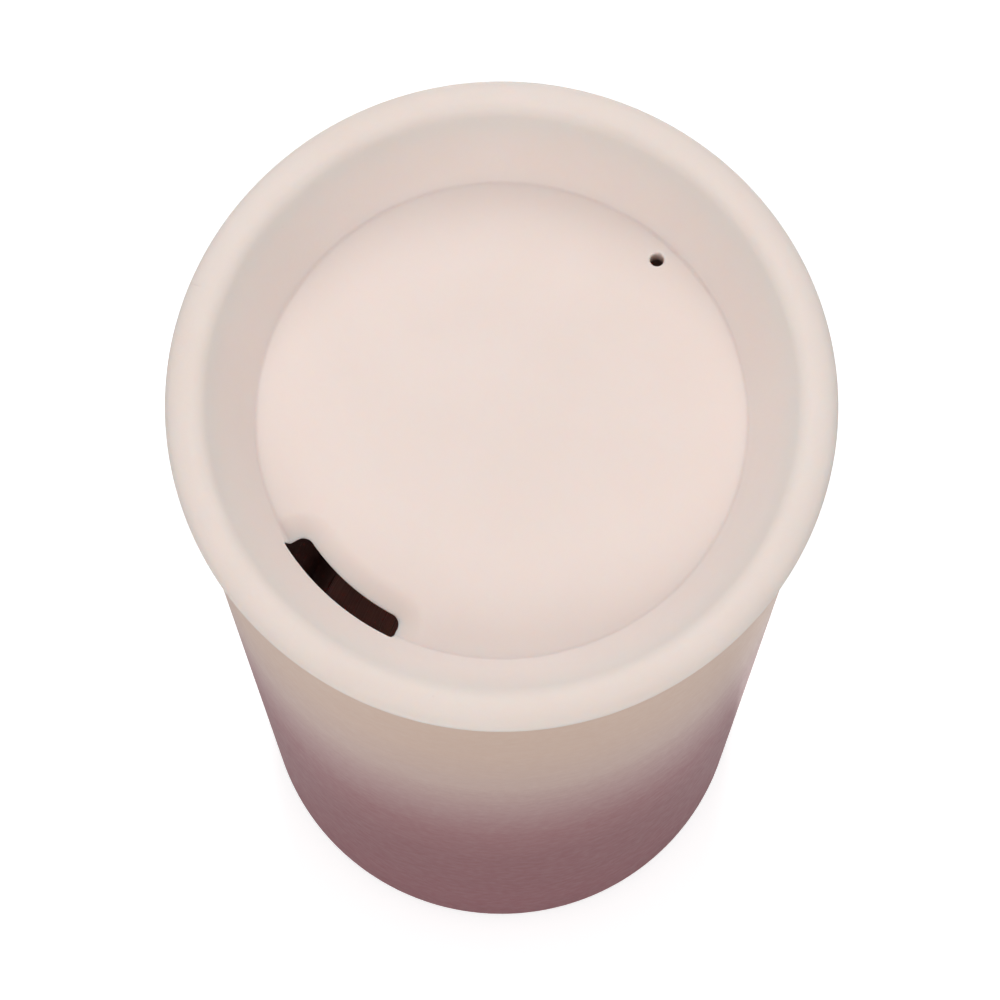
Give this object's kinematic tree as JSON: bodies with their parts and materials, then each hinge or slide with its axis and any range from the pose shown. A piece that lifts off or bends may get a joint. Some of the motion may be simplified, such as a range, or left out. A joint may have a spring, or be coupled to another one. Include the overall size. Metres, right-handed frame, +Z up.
{
  "type": "insulated travel tumbler",
  "caption": "Tapered double-wall travel tumbler with a press-on silicone lid that has a drinking slot and a vent hole.",
  "frame": {"origin": "centre of the underside, where the foot's pad meets the table", "axes": "+Z up along the cup's axis, -Y towards the drinking slot, +Y towards the vent hole"},
  "size_m": [0.083, 0.083, 0.161],
  "materials": {
    "lid_silicone": "soft matte cream-blush silicone",
    "ombre_paint": "satin, beige at the top fading through lavender grey to mauve at the foot",
    "brushed_liner": "brushed round the cup",
    "bare_steel": "plain rolled sheet",
    "copper": "bright copper foil",
    "glass_frit": "fused glass solder",
    "getter_metal": "sintered powder",
    "pad_silicone": "matte non-slip silicone"
  },
  "bodies": {
    "cup": {"outer_shell": "ombre_paint", "liner_wall": "brushed_liner", "liner_bottom": "brushed_liner", "copper_foil": "copper", "outer_bottom": "bare_steel", "vacuum_seal_bead": "glass_frit", "getter_pill": "getter_metal", "getter_clip": "bare_steel", "base_cap": "bare_steel", "base_pad": "pad_silicone"},
    "lid": {"lid": "lid_silicone"}
  },
  "joints": [
    {"name": "lid_lift", "type": "slide", "parent": "cup", "child": "lid", "axis": [0, 0, 1], "range_m": [0, 0.08]}
  ]
}
